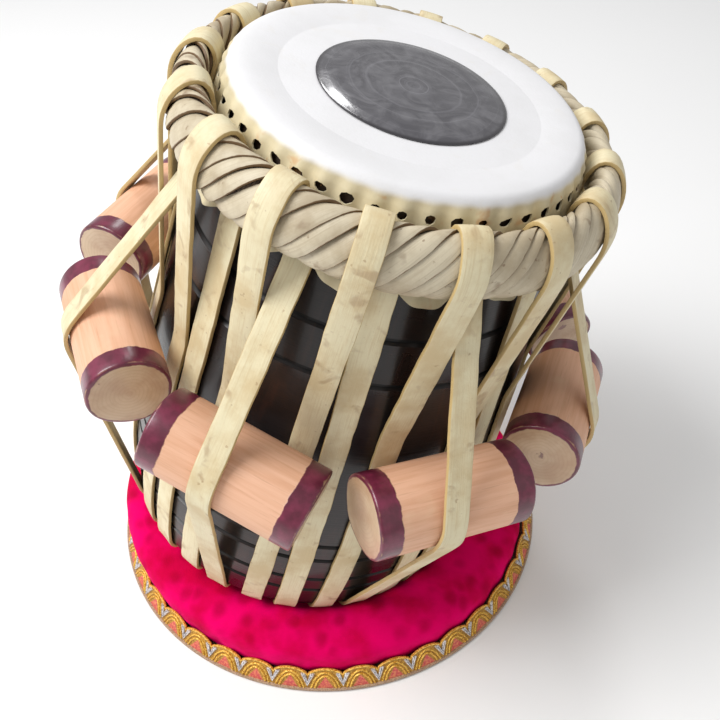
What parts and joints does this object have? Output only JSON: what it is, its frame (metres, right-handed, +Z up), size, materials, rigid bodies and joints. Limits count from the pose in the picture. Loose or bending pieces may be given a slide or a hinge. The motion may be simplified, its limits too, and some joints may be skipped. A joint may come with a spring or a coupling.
{
  "type": "tabla",
  "caption": "Treble tabla drum with laced skin head, braided collar, leather straps and sliding wooden tuning dowels, leaning in a ring cushion.",
  "frame": {"origin": "on the floor, under the middle of the bounding box", "axes": "+Z up; the drum leans 14 degrees from +Z, towards +X and a little towards -Y"},
  "size_m": [0.2711, 0.2695, 0.2986],
  "materials": {
    "lacquered_wood": "dark gloss lacquer on turned wood",
    "skin": "smooth pale goat skin",
    "tuning_paste": "polished dark paste in ridged layers",
    "collar_leather": "plaited rawhide strips",
    "lacing_leather": "cream rawhide strap with ochre cut edges",
    "dowel_wood": "plain turned wood with painted end bands",
    "velvet": "magenta velvet with darker spots",
    "gold_lace": "gold and silver thread braid",
    "backing_cloth": "plain woven cotton"
  },
  "bodies": {
    "cushion": {"ring_cushion": "velvet", "cushion_trim": "gold_lace", "cushion_underside": "backing_cloth"},
    "drum": {"shell": "lacquered_wood", "inner_lining": "skin", "playing_skin": "skin", "rim_skin": "skin", "tuning_paste": "tuning_paste", "braided_collar": "collar_leather", "bottom_ring": "collar_leather", "strap_01": "lacing_leather", "strap_02": "lacing_leather", "strap_03": "lacing_leather", "strap_04": "lacing_leather", "strap_05": "lacing_leather", "strap_06": "lacing_leather", "strap_07": "lacing_leather", "strap_08": "lacing_leather", "strap_09": "lacing_leather", "strap_10": "lacing_leather", "strap_11": "lacing_leather", "strap_12": "lacing_leather", "strap_13": "lacing_leather", "strap_14": "lacing_leather", "strap_15": "lacing_leather", "strap_16": "lacing_leather"},
    "dowel_1": {"tuning_dowel_1": "dowel_wood"},
    "dowel_2": {"tuning_dowel_2": "dowel_wood"},
    "dowel_3": {"tuning_dowel_3": "dowel_wood"},
    "dowel_4": {"tuning_dowel_4": "dowel_wood"},
    "dowel_5": {"tuning_dowel_5": "dowel_wood"},
    "dowel_6": {"tuning_dowel_6": "dowel_wood"},
    "dowel_7": {"tuning_dowel_7": "dowel_wood"},
    "dowel_8": {"tuning_dowel_8": "dowel_wood"}
  },
  "joints": [
    {"name": "drum_lift", "type": "slide", "parent": "cushion", "child": "drum", "axis": [0, 0, 1], "range_m": [0, 0.12]},
    {"name": "dowel_1_slide", "type": "slide", "parent": "drum", "child": "dowel_1", "axis": [-0.2601, -0.0019, -0.9656], "range_m": [-0.01, 0.025], "deforming": ["strap_01"]},
    {"name": "dowel_2_slide", "type": "slide", "parent": "drum", "child": "dowel_2", "axis": [-0.2082, -0.002, -0.9781], "range_m": [-0.01, 0.025], "deforming": ["strap_03"]},
    {"name": "dowel_3_slide", "type": "slide", "parent": "drum", "child": "dowel_3", "axis": [-0.1708, 0.0357, -0.9847], "range_m": [-0.01, 0.025], "deforming": ["strap_05"]},
    {"name": "dowel_4_slide", "type": "slide", "parent": "drum", "child": "dowel_4", "axis": [-0.17, 0.089, -0.9814], "range_m": [-0.01, 0.025], "deforming": ["strap_07"]},
    {"name": "dowel_5_slide", "type": "slide", "parent": "drum", "child": "dowel_5", "axis": [-0.2061, 0.1268, -0.9703], "range_m": [-0.01, 0.025], "deforming": ["strap_09"]},
    {"name": "dowel_6_slide", "type": "slide", "parent": "drum", "child": "dowel_6", "axis": [-0.2581, 0.1269, -0.9578], "range_m": [-0.01, 0.025], "deforming": ["strap_11"]},
    {"name": "dowel_7_slide", "type": "slide", "parent": "drum", "child": "dowel_7", "axis": [-0.2954, 0.0892, -0.9512], "range_m": [-0.01, 0.025], "deforming": ["strap_13"]},
    {"name": "dowel_8_slide", "type": "slide", "parent": "drum", "child": "dowel_8", "axis": [-0.2963, 0.0359, -0.9544], "range_m": [-0.01, 0.025], "deforming": ["strap_15"]}
  ]
}
